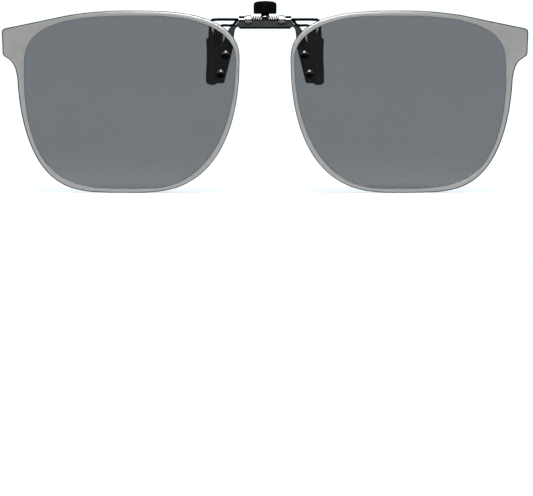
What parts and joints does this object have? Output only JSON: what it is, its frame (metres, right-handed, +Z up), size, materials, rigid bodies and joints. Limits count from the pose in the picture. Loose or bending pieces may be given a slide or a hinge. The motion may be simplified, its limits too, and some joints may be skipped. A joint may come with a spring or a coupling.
{
  "type": "clip-on sunglasses",
  "caption": "Flip-up clip-on sun lenses in slim metal rims on a riveted bracket, hinged to a sprung claw clip that grips spectacles.",
  "frame": {"origin": "middle of the clip's grip: on the mirror plane, midway between the front and rear claw faces and half way up them", "axes": "+X to the wearer's left, -Y out of the front of the lenses, +Z up"},
  "size_m": [0.1428, 0.0114, 0.0518],
  "materials": {
    "rim_metal": "satin gunmetal-silver plating on thin nickel silver",
    "sun_lens": "grey polarised triacetate sheet, see-through",
    "black_metal": "satin black lacquer on steel",
    "bright_steel": "bright nickel plate",
    "black_rubber": "soft black silicone rubber",
    "nylon": "black nylon"
  },
  "bodies": {
    "clip_base": {"clip_plate": "bright_steel", "friction_bushing_left": "bright_steel", "friction_bushing_right": "bright_steel", "front_claw_wire_left": "black_metal", "front_claw_wire_right": "black_metal", "front_claw_sleeve_left": "black_rubber", "front_claw_sleeve_right": "black_rubber", "torsion_spring": "bright_steel"},
    "rear_jaw": {"rear_claw_wire": "black_metal", "rear_claw_sleeve_left": "black_rubber", "rear_claw_sleeve_right": "black_rubber", "thumb_lever": "black_metal", "thumb_pad": "black_rubber"},
    "lens_carrier": {"rim_left": "rim_metal", "rim_right": "rim_metal", "lens_left": "sun_lens", "lens_right": "sun_lens", "bridge_bracket": "black_metal", "rivet_upper_left": "black_metal", "rivet_upper_right": "black_metal", "rivet_lower_left": "black_metal", "rivet_lower_right": "black_metal", "spacer_upper_left": "nylon", "spacer_upper_right": "nylon", "spacer_lower_left": "nylon", "spacer_lower_right": "nylon"}
  },
  "joints": [
    {"name": "lens_flip", "type": "hinge", "parent": "clip_base", "child": "lens_carrier", "pos_m": [0, -0.00115, 0.0114], "axis": [-1, 0, 0], "range_deg": [0, 90]},
    {"name": "jaw_open", "type": "hinge", "parent": "clip_base", "child": "rear_jaw", "pos_m": [0, -0.00115, 0.0114], "axis": [1, 0, 0], "range_deg": [0, 22], "stiffness_Nm_per_rad": 0.03, "springref_deg": -68.75, "deforming": ["torsion_spring"]}
  ]
}
